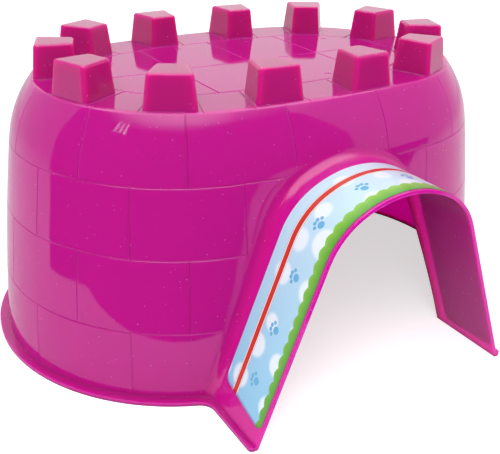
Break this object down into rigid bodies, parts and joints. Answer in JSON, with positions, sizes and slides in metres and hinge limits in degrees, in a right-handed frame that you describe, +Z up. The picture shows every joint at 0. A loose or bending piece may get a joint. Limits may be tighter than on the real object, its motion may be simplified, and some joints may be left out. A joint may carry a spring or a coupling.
{
  "type": "rodent igloo",
  "caption": "Castle-shaped plastic hideaway for a rabbit: oval keep with battlements and engraved blocks, open underneath, with an arched entrance tunnel and a printed label.",
  "frame": {"origin": "middle of the footprint on the floor that the hideaway stands on", "axes": "+X along the long axis of the oval keep, +Y towards the back, so the entrance tunnel faces -Y, +Z up"},
  "size_m": [0.4104, 0.34, 0.2125],
  "materials": {
    "moulded_shell": "glossy translucent magenta with fine glitter",
    "printed_label": "printed film, satin"
  },
  "bodies": {
    "root": {"shell": "moulded_shell", "label": "printed_label"}
  },
  "joints": []
}
